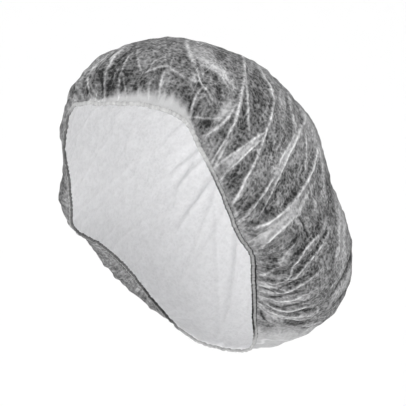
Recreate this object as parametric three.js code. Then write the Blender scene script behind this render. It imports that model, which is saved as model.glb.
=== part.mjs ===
// A disposable bouffant hairnet in the shape it keeps when it is worn.
// Millimetres, +Z up, -Y towards the open front, +X towards the wearer's left.
// The origin is the seat, where the inside of the crown bears at its top.
// The crown is worked out from level sections, the rim from landmarks round the opening,
// and the folds from two charts with a row for each fold.
import * as THREE from 'three';

// Driving dimensions
const WALL = 1.4;
const HEM_HEIGHT = 5.5;
const HEM_DEPTH = 3.2;
const HEM_GAP = 0.35;

// How finely the cloth and the hem are divided
const COLUMNS = 96;
const RINGS = 24;
const HEM_SIDES = 6;

// Level sections of the filled crown, with their heights from the seat.
// front and back are the ends on the middle line, half is half the width,
// and power is the squareness of the section: 2 is an ellipse.
const SECTIONS = [
  { height: 1.5, front: -3, back: -3, half: 0, power: 2.0 },
  { height: -5, front: -45, back: 39, half: 33, power: 2.0 },
  { height: -17, front: -67, back: 75, half: 57, power: 2.05 },
  { height: -29, front: -78, back: 94, half: 68, power: 2.1 },
  { height: -42, front: -86, back: 109, half: 78, power: 2.1 },
  { height: -66, front: -90, back: 134, half: 89, power: 2.2 },
  { height: -91, front: -89, back: 147, half: 93, power: 2.2 },
  { height: -118, front: -93, back: 160, half: 96, power: 2.25 },
  { height: -146, front: -87, back: 174, half: 101, power: 2.3 },
  { height: -172, front: -66, back: 179, half: 103, power: 2.3 },
  { height: -198, front: -42, back: 176, half: 98, power: 2.3 },
  { height: -220, front: -18, back: 167, half: 84, power: 2.3 },
  { height: -238, front: 12, back: 149, half: 63, power: 2.2 },
  { height: -250, front: 46, back: 126, half: 38, power: 2.1 },
  { height: -256, front: 88, back: 88, half: 0, power: 2.0 },
];

// Landmarks of the rim from the middle of the front to the middle of the back, wearer's left.
// tuck is the angle over which the cloth curves in from the full crown to the rim.
const RIM = [
  { place: 'front middle', across: 0, depth: -88, height: -48, tuck: 10 },
  { place: 'front', across: 36, depth: -77, height: -50, tuck: 10 },
  { place: 'front corner', across: 55, depth: -62, height: -61, tuck: 12 },
  { place: 'upper side', across: 64, depth: -55, height: -82, tuck: 14 },
  { place: 'middle side', across: 70, depth: -43, height: -105, tuck: 15 },
  { place: 'lower side', across: 75, depth: -34, height: -128, tuck: 16 },
  { place: 'side notch', across: 79, depth: -26, height: -147, tuck: 18 },
  { place: 'under the notch', across: 72, depth: 2, height: -164, tuck: 24 },
  { place: 'back side', across: 60, depth: 23, height: -186, tuck: 28 },
  { place: 'lower back side', across: 47, depth: 45, height: -216, tuck: 28 },
  { place: 'back corner', across: 28, depth: 73, height: -246, tuck: 18 },
  { place: 'back middle', across: 0, depth: 88, height: -254, tuck: 14 },
];

// How sharply the cloth swells out from the rim
const TUCK_POWER = 2.6;

// The middle that the rays of the crown start from, and the axis its rings lie round
const MIDDLE = new THREE.Vector3(0, 20, -131);
const CROWN_AXIS = new THREE.Vector3(0, 0.748, 0.664).normalize();
const SIDE_AXIS = new THREE.Vector3(1, 0, 0);
const FRONT_AXIS = new THREE.Vector3().crossVectors(CROWN_AXIS, SIDE_AXIS).negate();

// The view in which the folds are charted, from the wearer's front left.
// The chart reads CHART_CENTRE, across and up, at the point that the view looks at.
const VIEW_TURN = THREE.MathUtils.degToRad(34);
const VIEW_LIFT = THREE.MathUtils.degToRad(4);
const VIEW_DISTANCE = 1300;
const VIEW_TARGET = new THREE.Vector3(19.4, 13.1, -126.6);
const CHART_CENTRE = [23.4, 9.4];

// The chart of the folds as that view shows them, from one end to the other, across and up.
// A fold bows to the left of its way by bow. spread is its half width and rise its height,
// and a valley has a negative rise.
const FOLDS = [
  { name: 'long side fold', from: [55, 122], to: [31, 37], bow: 7, spread: 5, rise: 3.4 },
  { name: 'side wedge', from: [36, 34], to: [70, 63], bow: 0, spread: 7, rise: 2.6 },
  { name: 'slot before the wedge', from: [33, 36], to: [56, 66], bow: 5, spread: 5, rise: -2.4 },
  { name: 'second long fold', from: [71, 111], to: [48, 9], bow: 11, spread: 4.5, rise: 3.0 },
  { name: 'wide pleat', from: [96, 87], to: [59, -7], bow: 11, spread: 8, rise: 3.6 },
  { name: 'hollow behind the pleat', from: [103, 60], to: [74, -6], bow: 6, spread: 6, rise: -2.6 },
  { name: 'narrow back fold', from: [115, 55], to: [97, 16], bow: 3, spread: 4.5, rise: 2.6 },
  { name: 'sweep from the notch', from: [54, -14], to: [113, 47], bow: -12, spread: 6.5, rise: 4.0 },
  { name: 'hollow under the sweep', from: [70, -29], to: [106, -8], bow: -8, spread: 8, rise: -3.4 },
  { name: 'upper bag fold', from: [113, -16], to: [64, -53], bow: 9, spread: 4.5, rise: 3.2 },
  { name: 'outer bag fold', from: [123, -12], to: [86, -57], bow: 4, spread: 4.5, rise: 2.8 },
  { name: 'lower bag fold', from: [111, -46], to: [64, -58], bow: 8, spread: 4.5, rise: 3.0 },
  { name: 'low crease', from: [70, -69], to: [115, -71], bow: -6, spread: 4, rise: 2.6 },
  { name: 'low hollow', from: [68, -64], to: [112, -64], bow: -5, spread: 3.5, rise: -2.2 },
  { name: 'lowest fold', from: [68, -77], to: [115, -80], bow: -4, spread: 4, rise: 2.4 },
  { name: 'back valley', from: [122, 27], to: [123, -24], bow: 2, spread: 5, rise: -3.0 },
  { name: 'back ridge', from: [129, 16], to: [129, -43], bow: 4, spread: 5, rise: 3.0 },
  { name: 'outer valley', from: [139, -28], to: [120, -66], bow: 5, spread: 4.5, rise: -2.4 },
  { name: 'crown sweep', from: [12, 131], to: [49, 96], bow: 3, spread: 7, rise: 2.2 },
  { name: 'crown dent', from: [24, 74], to: [44, 72], bow: -2, spread: 6, rise: -2.6 },
  { name: 'front side fold', from: [23, 100], to: [14, 76], bow: -2, spread: 4.5, rise: 2.4 },
  { name: 'front ripple', from: [-27, 112], to: [14, 106], bow: 6, spread: 4, rise: 1.8 },
  { name: 'far front gather', from: [-34, 133], to: [-53, 94], bow: -6, spread: 4.5, rise: 2.2 },
  { name: 'far corner gather', from: [-60, 121], to: [-62, 91], bow: -5, spread: 4.5, rise: 2.0 },
];
const FOLD_STEPS = 8;

// Long folds down the back and a puff on the far side, which the view doesn't reach.
// round is the angle round the crown's axis from the front, lean is how far a fold turns
// on its way from its first ring to its last, and rings are counted in degrees from the axis.
const RING_FOLDS = [
  { round: -66, lean: 4, first: 80, last: 126, spread: 10, rise: 4.6 },
  { round: 118, lean: -16, first: 26, last: 96, spread: 6, rise: 2.8 },
  { round: 134, lean: 10, first: 34, last: 92, spread: 5, rise: -2.4 },
  { round: 147, lean: -9, first: 22, last: 98, spread: 6, rise: 3.2 },
  { round: 160, lean: 12, first: 40, last: 96, spread: 5, rise: -2.2 },
  { round: 172, lean: 7, first: 18, last: 98, spread: 6, rise: 3.0 },
  { round: 186, lean: -10, first: 36, last: 95, spread: 5, rise: -2.6 },
  { round: 199, lean: 9, first: 24, last: 98, spread: 6, rise: 3.0 },
  { round: 213, lean: -8, first: 38, last: 94, spread: 5, rise: -2.4 },
  { round: 227, lean: 12, first: 20, last: 97, spread: 6, rise: 2.8 },
  { round: 243, lean: 8, first: 30, last: 92, spread: 5, rise: 2.4 },
];

// The far half repeats the chart a little moved and stretched, so that the halves differ
const FAR_SHIFT_ACROSS = -4;
const FAR_SHIFT_UP = 6;
const FAR_STRETCH = 0.95;

// How squarely the cloth has to face the view before a charted fold counts in full
const FACING_FROM = 0.02;
const FACING_TO = 0.3;

// Folds die out this close to the rim and, by these, at their own two ends
const RIM_CALM = 14;
const END_MARGIN = 0.05;
const END_POWER = 0.6;

// Gathers that the elastic draws up all round the rim
const GATHERS = 24;
const GATHER_RISE = 1.7;
const GATHER_REACH = 26;
const GATHER_SWELL = 10;
const RIM_SHARE = 0.35;

// The search for the crown along a ray: how far it looks and how often it halves
const FARTHEST = 300;
const HALVINGS = 36;

// A smooth curve through the rows of a table, read at one value of its key column
function readTable(rows, key, at, column) {
  const rising = rows[rows.length - 1][key] > rows[0][key];
  let i = 0;
  while (i < rows.length - 2 && (rising ? rows[i + 1][key] < at : rows[i + 1][key] > at)) i += 1;
  const slope = (a, b) => (rows[b][column] - rows[a][column]) / (rows[b][key] - rows[a][key]);
  const last = rows.length - 1;
  const enter = slope(Math.max(i - 1, 0), Math.min(i + 1, last));
  const leave = slope(i, Math.min(i + 2, last));
  const span = rows[i + 1][key] - rows[i][key];
  const t = THREE.MathUtils.clamp((at - rows[i][key]) / span, 0, 1);
  return rows[i][column] * (1 + 2 * t) * (1 - t) ** 2
    + rows[i + 1][column] * t * t * (3 - 2 * t)
    + enter * span * t * (1 - t) ** 2
    - leave * span * t * t * (1 - t);
}

// The sections' ends as squares of half axes, which keeps the top and bottom round
const LEVELS = SECTIONS.map((s) => ({
  height: s.height,
  centre: (s.front + s.back) / 2,
  longSquare: ((s.back - s.front) / 2) ** 2,
  wideSquare: s.half ** 2,
  power: s.power,
}));

function isInside(point) {
  const { x, y, z } = point;
  if (z >= LEVELS[0].height || z <= LEVELS[LEVELS.length - 1].height) return false;
  const power = readTable(LEVELS, 'height', z, 'power');
  const long = Math.sqrt(Math.max(readTable(LEVELS, 'height', z, 'longSquare'), 1e-6));
  const wide = Math.sqrt(Math.max(readTable(LEVELS, 'height', z, 'wideSquare'), 1e-6));
  const centre = readTable(LEVELS, 'height', z, 'centre');
  return (Math.abs(x) / wide) ** power + (Math.abs(y - centre) / long) ** power < 1;
}

// How far the full crown is from the middle along a direction
function crownReach(direction) {
  let near = 0;
  let far = FARTHEST;
  const point = new THREE.Vector3();
  for (let step = 0; step < HALVINGS; step += 1) {
    const reach = (near + far) / 2;
    point.copy(MIDDLE).addScaledVector(direction, reach);
    if (isInside(point)) near = reach;
    else far = reach;
  }
  return (near + far) / 2;
}

// The rim's landmarks as angles round the crown's axis, angles from it and distances
const RIM_HALF = RIM.map((mark) => {
  const spoke = new THREE.Vector3(mark.across, mark.depth, mark.height).sub(MIDDLE);
  const reach = spoke.length();
  return {
    round: Math.atan2(spoke.dot(SIDE_AXIS), spoke.dot(FRONT_AXIS)),
    ring: Math.acos(spoke.dot(CROWN_AXIS) / reach),
    reach,
    tuck: THREE.MathUtils.degToRad(mark.tuck),
  };
});

// The landmark next to each end is repeated beyond it, so that the rim has no corner there
const RIM_ANGLES = [
  { ...RIM_HALF[1], round: -RIM_HALF[1].round },
  ...RIM_HALF,
  { ...RIM_HALF[RIM_HALF.length - 2], round: 2 * Math.PI - RIM_HALF[RIM_HALF.length - 2].round },
];

function rimAt(round) {
  const turned = Math.abs(Math.atan2(Math.sin(round), Math.cos(round)));
  return {
    ring: readTable(RIM_ANGLES, 'round', turned, 'ring'),
    reach: readTable(RIM_ANGLES, 'round', turned, 'reach'),
    tuck: readTable(RIM_ANGLES, 'round', turned, 'tuck'),
  };
}

function directionAt(round, ring) {
  return new THREE.Vector3()
    .addScaledVector(CROWN_AXIS, Math.cos(ring))
    .addScaledVector(FRONT_AXIS, Math.sin(ring) * Math.cos(round))
    .addScaledVector(SIDE_AXIS, Math.sin(ring) * Math.sin(round));
}

// The smooth crown, drawn in towards the rim over the last few degrees
function crownPoint(round, share) {
  const rim = rimAt(round);
  const ring = rim.ring * share;
  const direction = directionAt(round, ring);
  const left = THREE.MathUtils.clamp((rim.ring - ring) / rim.tuck, 0, 1);
  const fullness = 1 - (1 - left) ** TUCK_POWER;
  const reach = THREE.MathUtils.lerp(rim.reach, crownReach(direction), fullness);
  return direction.multiplyScalar(reach).add(MIDDLE);
}

// Where the chart reads a point, across and up
const VIEW_BACK = new THREE.Vector3(
  Math.sin(VIEW_TURN) * Math.cos(VIEW_LIFT),
  -Math.cos(VIEW_TURN) * Math.cos(VIEW_LIFT),
  Math.sin(VIEW_LIFT),
);
const VIEW_RIGHT = new THREE.Vector3(Math.cos(VIEW_TURN), Math.sin(VIEW_TURN), 0);
const VIEW_UP = new THREE.Vector3().crossVectors(VIEW_BACK, VIEW_RIGHT);

function inView(point) {
  const offset = point.clone().sub(VIEW_TARGET);
  const nearer = VIEW_DISTANCE / (VIEW_DISTANCE - offset.dot(VIEW_BACK));
  return [
    offset.dot(VIEW_RIGHT) * nearer + CHART_CENTRE[0],
    offset.dot(VIEW_UP) * nearer + CHART_CENTRE[1],
  ];
}

function foldRoute(fold) {
  const [x0, y0] = fold.from;
  const [x1, y1] = fold.to;
  const length = Math.hypot(x1 - x0, y1 - y0);
  const route = [];
  for (let step = 0; step <= FOLD_STEPS; step += 1) {
    const t = step / FOLD_STEPS;
    const bow = (4 * t * (1 - t) * fold.bow) / length;
    route.push([x0 + (x1 - x0) * t - (y1 - y0) * bow, y0 + (y1 - y0) * t + (x1 - x0) * bow]);
  }
  return route;
}
const ROUTES = FOLDS.map((fold) => ({ ...fold, route: foldRoute(fold) }));

// Distance from a place in the view to a route, and how far along the route it is
function nearestOnRoute(route, [x, y]) {
  let best = { distance: Infinity, along: 0 };
  for (let i = 0; i < route.length - 1; i += 1) {
    const [ax, ay] = route[i];
    const dx = route[i + 1][0] - ax;
    const dy = route[i + 1][1] - ay;
    const t = THREE.MathUtils.clamp(((x - ax) * dx + (y - ay) * dy) / (dx * dx + dy * dy), 0, 1);
    const distance = Math.hypot(x - ax - dx * t, y - ay - dy * t);
    if (distance < best.distance) best = { distance, along: (i + t) / (route.length - 1) };
  }
  return best;
}

function foldHeight(distance, along, fold) {
  const inset = THREE.MathUtils.lerp(END_MARGIN, 1 - END_MARGIN, along);
  const ends = Math.sin(Math.PI * inset) ** END_POWER;
  return fold.rise * ends * Math.exp(-((distance / fold.spread) ** 2));
}

function chartedRise(place) {
  return ROUTES.reduce((sum, fold) => {
    const { distance, along } = nearestOnRoute(fold.route, place);
    return sum + foldHeight(distance, along, fold);
  }, 0);
}

// The charted folds on the side that the view shows, and their repeat on the far side
function sideRise(point, normal) {
  const facing = THREE.MathUtils.smoothstep(normal.dot(VIEW_BACK), FACING_FROM, FACING_TO);
  const farPoint = new THREE.Vector3(-point.x, point.y, point.z);
  const farNormal = new THREE.Vector3(-normal.x, normal.y, normal.z);
  const farFacing = THREE.MathUtils.smoothstep(farNormal.dot(VIEW_BACK), FACING_FROM, FACING_TO);
  const [across, up] = inView(farPoint);
  const farPlace = [across * FAR_STRETCH + FAR_SHIFT_ACROSS, up * FAR_STRETCH + FAR_SHIFT_UP];
  return facing * chartedRise(inView(point)) + (1 - facing) * farFacing * chartedRise(farPlace);
}

function ringRise(round, ring, reach) {
  return RING_FOLDS.reduce((sum, fold) => {
    const first = THREE.MathUtils.degToRad(fold.first);
    const last = THREE.MathUtils.degToRad(fold.last);
    const along = (ring - first) / (last - first);
    if (along <= 0 || along >= 1) return sum;
    const middle = THREE.MathUtils.degToRad(fold.round + fold.lean * (along - 0.5));
    const turn = Math.atan2(Math.sin(round - middle), Math.cos(round - middle));
    return sum + foldHeight(turn * reach * Math.sin(ring), along, fold);
  }, 0);
}

function gatherRise(round, fromRim) {
  const fade = Math.exp(-((fromRim / GATHER_REACH) ** 2));
  const swell = THREE.MathUtils.lerp(RIM_SHARE, 1, THREE.MathUtils.smoothstep(fromRim, 0, GATHER_SWELL));
  return GATHER_RISE * swell * fade * Math.cos(GATHERS * round);
}

// A grid of points, a pole first and then the rings out to the rim
function gridNormals(grid) {
  return grid.map((ringPoints, i) => ringPoints.map((point, j) => {
    const inner = grid[Math.max(i - 1, 0)][j];
    const outer = grid[Math.min(i + 1, grid.length - 1)][j];
    const before = ringPoints[(j + COLUMNS - 1) % COLUMNS];
    const after = ringPoints[(j + 1) % COLUMNS];
    const down = new THREE.Vector3().subVectors(outer, inner);
    const round = new THREE.Vector3().subVectors(after, before);
    return down.cross(round).normalize();
  }));
}

function smoothGrid() {
  const grid = [];
  for (let i = 1; i <= RINGS; i += 1) {
    const share = i / RINGS;
    const ringPoints = [];
    for (let j = 0; j < COLUMNS; j += 1) {
      ringPoints.push(crownPoint((2 * Math.PI * j) / COLUMNS, share));
    }
    grid.push(ringPoints);
  }
  return grid;
}

function foldedGrid() {
  const smooth = smoothGrid();
  const normals = gridNormals(smooth);
  return smooth.map((ringPoints, i) => ringPoints.map((point, j) => {
    const round = (2 * Math.PI * j) / COLUMNS;
    const rim = rimAt(round);
    const ring = (rim.ring * (i + 1)) / RINGS;
    const reach = point.distanceTo(MIDDLE);
    const fromRim = (rim.ring - ring) * reach;
    const calm = THREE.MathUtils.smoothstep(fromRim, 0, RIM_CALM);
    const rise = calm * (sideRise(point, normals[i][j]) + ringRise(round, ring, reach))
      + gatherRise(round, fromRim);
    return point.clone().addScaledVector(normals[i][j], rise);
  }));
}

// The cloth as a wall: the folded skin outside and the same skin one wall inwards
function crownGeometry(outer) {
  const normals = gridNormals(outer);
  const inner = outer.map((ringPoints, i) => ringPoints.map(
    (point, j) => point.clone().addScaledVector(normals[i][j], -WALL),
  ));
  const pole = crownPoint(0, 0);
  const innerPole = pole.clone().addScaledVector(CROWN_AXIS, -WALL);
  const points = [pole, ...outer.flat(), innerPole, ...inner.flat()];
  const innerStart = 1 + RINGS * COLUMNS;
  const faces = [];
  for (let j = 0; j < COLUMNS; j += 1) {
    const k = (j + 1) % COLUMNS;
    faces.push([0, 1 + j, 1 + k]);
    faces.push([innerStart, innerStart + 1 + k, innerStart + 1 + j]);
    for (let i = 0; i < RINGS - 1; i += 1) {
      const a = 1 + i * COLUMNS + j;
      const b = 1 + i * COLUMNS + k;
      const c = a + COLUMNS;
      const d = b + COLUMNS;
      faces.push([a, c, b], [b, c, d]);
      faces.push([innerStart + a, innerStart + b, innerStart + c]);
      faces.push([innerStart + b, innerStart + d, innerStart + c]);
    }
    const rimJ = 1 + (RINGS - 1) * COLUMNS + j;
    const rimK = 1 + (RINGS - 1) * COLUMNS + k;
    faces.push([rimJ, innerStart + rimJ, rimK]);
    faces.push([rimK, innerStart + rimJ, innerStart + rimK]);
  }
  return meshGeometry(points, faces);
}

// The hem: a closed oval roll that follows the rim just beyond the cloth's edge
function hemGeometry(outer) {
  const normals = gridNormals(outer);
  const rim = outer[RINGS - 1];
  const above = outer[RINGS - 2];
  const points = [];
  const faces = [];
  for (let j = 0; j < COLUMNS; j += 1) {
    const out = normals[RINGS - 1][j];
    const along = new THREE.Vector3()
      .subVectors(rim[(j + 1) % COLUMNS], rim[(j + COLUMNS - 1) % COLUMNS]);
    const down = new THREE.Vector3().crossVectors(along, out).normalize();
    if (down.dot(new THREE.Vector3().subVectors(rim[j], above[j])) < 0) down.negate();
    const centre = rim[j].clone()
      .addScaledVector(out, -WALL / 2)
      .addScaledVector(down, HEM_GAP + HEM_HEIGHT / 2);
    for (let side = 0; side < HEM_SIDES; side += 1) {
      const angle = (2 * Math.PI * side) / HEM_SIDES;
      points.push(centre.clone()
        .addScaledVector(down, (HEM_HEIGHT / 2) * Math.cos(angle))
        .addScaledVector(out, (HEM_DEPTH / 2) * Math.sin(angle)));
    }
    for (let side = 0; side < HEM_SIDES; side += 1) {
      const next = (side + 1) % HEM_SIDES;
      const here = j * HEM_SIDES;
      const there = ((j + 1) % COLUMNS) * HEM_SIDES;
      faces.push([here + side, there + side, here + next]);
      faces.push([here + next, there + side, there + next]);
    }
  }
  return meshGeometry(points, faces);
}

// An indexed mesh from a list of points and a list of faces
function meshGeometry(points, faces) {
  const geometry = new THREE.BufferGeometry();
  const positions = points.flatMap((point) => [point.x, point.y, point.z]);
  geometry.setAttribute('position', new THREE.Float32BufferAttribute(positions, 3));
  geometry.setIndex(faces.flat());
  geometry.computeVertexNormals();
  return geometry;
}

function namedMesh(name, geometry, color, roughness) {
  const material = new THREE.MeshStandardMaterial({ color, roughness, metalness: 0 });
  const mesh = new THREE.Mesh(geometry, material);
  mesh.name = name;
  return mesh;
}

const cloth = foldedGrid();
const hairnet = new THREE.Group();
hairnet.add(namedMesh('crown', crownGeometry(cloth), 0x8c8c8c, 0.85));
hairnet.add(namedMesh('elastic_hem', hemGeometry(cloth), 0xc4c4c4, 0.8));

export default hairnet;
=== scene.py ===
# %% [markdown]
# # A worn bouffant hairnet
# The object is a disposable cap of thin nonwoven cloth, cut as a flat disc and gathered onto
# an elasticated hem. Worn and filled, it rounds out at the top, bags out at the back, and
# creases in long folds that run from the hem over the crown.
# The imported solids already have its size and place, so this script only makes the looks.

# %% Load the frame
import math

import bpy
import numpy as np
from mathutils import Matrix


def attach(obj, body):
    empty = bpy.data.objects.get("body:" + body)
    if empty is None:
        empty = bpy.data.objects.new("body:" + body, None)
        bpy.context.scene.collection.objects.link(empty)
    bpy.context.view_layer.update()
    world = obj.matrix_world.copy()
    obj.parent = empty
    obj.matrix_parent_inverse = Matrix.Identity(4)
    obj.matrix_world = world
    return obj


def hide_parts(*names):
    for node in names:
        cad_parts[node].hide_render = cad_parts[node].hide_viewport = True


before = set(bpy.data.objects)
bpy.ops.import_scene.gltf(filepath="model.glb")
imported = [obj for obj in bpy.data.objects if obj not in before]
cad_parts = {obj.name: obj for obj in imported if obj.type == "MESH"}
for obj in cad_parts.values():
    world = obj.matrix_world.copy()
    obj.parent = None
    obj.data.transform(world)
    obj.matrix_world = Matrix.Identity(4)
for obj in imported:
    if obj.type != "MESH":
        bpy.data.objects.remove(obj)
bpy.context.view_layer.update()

MM = 0.001

# %% [markdown]
# ## The view comes first
# The folds are drawn as the reference view shows them, so the view is settled before the
# cloth. A long lens from a little over a metre away keeps the near and far sides almost
# the same size. All later steps use these same few numbers.

# %% The view's numbers
PICTURE_SIDE = 406
MM_PER_DOT = 0.78
VIEW_TURN = math.radians(34)
VIEW_LIFT = math.radians(4)
VIEW_DISTANCE = 1300.0
VIEW_TARGET = np.array([19.4, 13.1, -126.6])
SENSOR = 36.0

view_back = np.array([
    math.sin(VIEW_TURN) * math.cos(VIEW_LIFT),
    -math.cos(VIEW_TURN) * math.cos(VIEW_LIFT),
    math.sin(VIEW_LIFT),
])
view_right = np.array([math.cos(VIEW_TURN), math.sin(VIEW_TURN), 0.0])
view_up = np.cross(view_back, view_right)
print("the view looks from", view_back.round(3))

# %% [markdown]
# ## The camera
# A camera object looks along its own -Z with +Y up, so its matrix is the three view
# directions and its place, as columns. The lens follows from the distance and the width of
# the picture.

# %% Camera
from mathutils import Matrix


def facing(right_way, up_way, back_way, place):
    columns = zip(right_way, up_way, back_way, place)
    rows = [[float(value) for value in row] for row in columns]
    return Matrix(rows + [[0, 0, 0, 1]])


def new_object(name, data):
    made = bpy.data.objects.new(name, data)
    bpy.context.scene.collection.objects.link(made)
    return made


camera_data = bpy.data.cameras.new("photo_camera")
camera_data.sensor_width = SENSOR
camera_data.lens = SENSOR * VIEW_DISTANCE / (PICTURE_SIDE * MM_PER_DOT)
camera = new_object("photo_camera", camera_data)
camera_place = (VIEW_TARGET + view_back * VIEW_DISTANCE) * MM
camera.matrix_world = facing(view_right, view_up, view_back, camera_place)
bpy.context.scene.camera = camera
print("lens", round(camera_data.lens, 1), "mm")

# %% [markdown]
# ## The filled shape
# A filled cap could be sculpted from a sphere, but its outline from the front, the side and
# the top has to be right at once. A table of level sections gives all three: each row is one
# height, with where the section starts and ends on the middle line, half its width, and how
# square it is. The same table shaped the solid, so cloth and solid agree.

# %% Level sections and rim landmarks
from collections import namedtuple

Section = namedtuple("Section", "height front back half power")
SECTION_ROWS = [
    (1.5, -3, -3, 0, 2.0),
    (-5, -45, 39, 33, 2.0),
    (-17, -67, 75, 57, 2.05),
    (-29, -78, 94, 68, 2.1),
    (-42, -86, 109, 78, 2.1),
    (-66, -90, 134, 89, 2.2),
    (-91, -89, 147, 93, 2.2),
    (-118, -93, 160, 96, 2.25),
    (-146, -87, 174, 101, 2.3),
    (-172, -66, 179, 103, 2.3),
    (-198, -42, 176, 98, 2.3),
    (-220, -18, 167, 84, 2.3),
    (-238, 12, 149, 63, 2.2),
    (-250, 46, 126, 38, 2.1),
    (-256, 88, 88, 0, 2.0),
]
SECTIONS = [Section(*row) for row in SECTION_ROWS]
Landmark = namedtuple("Landmark", "across depth height tuck")
RIM_ROWS = [
    (0, -88, -48, 10),
    (36, -77, -50, 10),
    (55, -62, -61, 12),
    (64, -55, -82, 14),
    (70, -43, -105, 15),
    (75, -34, -128, 16),
    (79, -26, -147, 18),
    (72, 2, -164, 24),
    (60, 23, -186, 28),
    (47, 45, -216, 28),
    (28, 73, -246, 18),
    (0, 88, -254, 14),
]
RIM = [Landmark(*row) for row in RIM_ROWS]
MIDDLE = np.array([0.0, 20.0, -131.0])
crown_axis = np.array([0.0, 0.748, 0.664])
crown_axis /= np.linalg.norm(crown_axis)
side_axis = np.array([1.0, 0.0, 0.0])
front_axis = -np.cross(crown_axis, side_axis)
TUCK_POWER = 2.6
print(len(SECTIONS), "sections,", len(RIM), "landmarks")

# %% [markdown]
# ## Reading a table smoothly
# Straight lines between rows would leave corners in the cloth. Each stretch is a cubic
# whose slope at a row comes from the rows on both sides of it. Two more curves serve the
# later steps: a smooth step between two values, and a bell that dies out on both sides.


# %% A smooth reader for the tables
def read_table(keys, values, at):
    keys = np.asarray(keys, float)
    values = np.asarray(values, float)
    slopes = np.empty(len(keys))
    slopes[1:-1] = (values[2:] - values[:-2]) / (keys[2:] - keys[:-2])
    slopes[0] = (values[1] - values[0]) / (keys[1] - keys[0])
    slopes[-1] = (values[-1] - values[-2]) / (keys[-1] - keys[-2])
    i = np.clip(np.searchsorted(keys, at, side="right") - 1, 0, len(keys) - 2)
    span = keys[i + 1] - keys[i]
    t = np.clip((at - keys[i]) / span, 0, 1)
    start = values[i] * (1 + 2 * t) * (1 - t) ** 2 + slopes[i] * span * t * (1 - t) ** 2
    end = values[i + 1] * t * t * (3 - 2 * t) - slopes[i + 1] * span * t * t * (1 - t)
    return start + end


def smooth_step(at, low, high):
    t = np.clip((at - low) / (high - low), 0, 1)
    return t * t * (3 - 2 * t)


def bell(at, spread, power=2):
    return np.exp(-((at / spread) ** power))


rising = SECTIONS[::-1]
heights = [s.height for s in rising]
centres = [(s.front + s.back) / 2 for s in rising]
long_squares = [((s.back - s.front) / 2) ** 2 for s in rising]
wide_squares = [s.half ** 2 for s in rising]
powers = [s.power for s in rising]
print("half width at the bag:", round(math.sqrt(read_table(heights, wide_squares, -172.0))))

# %% [markdown]
# ## Where a ray meets the filled shape
# Every point of the cloth lies on a ray from the middle of the hollow. Halving the interval
# again and again finds the crossing, for all the rays together.

# %% The crown's reach along rays
FARTHEST = 300.0
HALVINGS = 30
THINNEST = 1e-6


def is_inside(points):
    x, y, z = points[..., 0], points[..., 1], points[..., 2]
    power = read_table(heights, powers, z)
    long_half = np.sqrt(np.maximum(read_table(heights, long_squares, z), THINNEST))
    wide_half = np.sqrt(np.maximum(read_table(heights, wide_squares, z), THINNEST))
    centre = read_table(heights, centres, z)
    size = (np.abs(x) / wide_half) ** power + (np.abs(y - centre) / long_half) ** power
    return (size < 1) & (z > heights[0]) & (z < heights[-1])


def crown_reach(directions):
    near = np.zeros(directions.shape[:-1])
    far = np.full(directions.shape[:-1], FARTHEST)
    for _ in range(HALVINGS):
        reach = (near + far) / 2
        inside = is_inside(MIDDLE + directions * reach[..., None])
        near = np.where(inside, reach, near)
        far = np.where(inside, far, reach)
    return (near + far) / 2


print("reach straight up:", round(float(crown_reach(np.array([[0.0, 0.0, 1.0]]))[0]), 1), "mm")

# %% [markdown]
# ## The rim as angles
# The rim's landmarks are turned into angles round the crown's axis. The row beside each end
# is repeated beyond it, so that the left and right halves meet without a corner.

# %% Rim angles
spokes = np.array([[r.across, r.depth, r.height] for r in RIM]) - MIDDLE
rim_reach = np.linalg.norm(spokes, axis=1)
rim_round = np.arctan2(spokes @ side_axis, spokes @ front_axis)
rim_ring = np.arccos(spokes @ crown_axis / rim_reach)
rim_tuck = np.radians([r.tuck for r in RIM])


def mirrored_ends(column):
    return np.concatenate([[column[1]], column, [column[-2]]])


rim_rounds = np.concatenate([[-rim_round[1]], rim_round, [2 * math.pi - rim_round[-2]]])


def wrapped(angle):
    return np.arctan2(np.sin(angle), np.cos(angle))


def rim_at(at_turn):
    turned = np.abs(wrapped(at_turn))
    columns = (rim_ring, rim_reach, rim_tuck)
    return [read_table(rim_rounds, mirrored_ends(column), turned) for column in columns]


print("rim angles run to", np.degrees(rim_round).round()[-1], "degrees")

# %% [markdown]
# ## The smooth cloth
# The cloth is a grid of rings round the crown's axis, from the pole to the rim. It is fine
# enough for the narrow creases, and both faces together stay under 200,000 triangles. Near
# the rim the elastic draws the cloth in, over the angle that each landmark gives.

# %% Smooth grid
COLUMNS = 416
RINGS = 158

turns = np.arange(COLUMNS) * 2 * math.pi / COLUMNS
shares = (np.arange(1, RINGS + 1) / RINGS)[:, None]
edge_ring, edge_reach, edge_tuck = rim_at(turns)
ring = shares * edge_ring[None, :]
turn = np.broadcast_to(turns[None, :], ring.shape)


def direction_at(at_turn, at_ring):
    outwards = np.cos(at_turn)[..., None] * front_axis + np.sin(at_turn)[..., None] * side_axis
    return np.cos(at_ring)[..., None] * crown_axis + np.sin(at_ring)[..., None] * outwards


rays = direction_at(turn, ring)
room = np.clip((edge_ring - ring) / edge_tuck, 0, 1)
fullness = 1 - (1 - room) ** TUCK_POWER
reach = edge_reach * (1 - fullness) + crown_reach(rays) * fullness
smooth = MIDDLE + rays * reach[..., None]
pole = MIDDLE + crown_axis * crown_reach(crown_axis[None, :])[0]
from_rim = (edge_ring - ring) * reach
print("grid", smooth.shape, "pole at", pole.round(1))


# %% [markdown]
# ## Normals of a grid
# Folds stand up along the cloth's normal. On a grid the normal is the cross product of the
# steps to the neighbours along a ring and across the rings.

# %% Grid normals
def grid_normals(grid):
    down = np.gradient(grid, axis=0)
    round_about = np.roll(grid, -1, axis=1) - np.roll(grid, 1, axis=1)
    normals = np.cross(down, round_about)
    return normals / np.linalg.norm(normals, axis=-1, keepdims=True)


normals = grid_normals(smooth)
print("the normals point outwards:", bool(np.sum(normals * rays, axis=-1).min() > 0))

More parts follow.
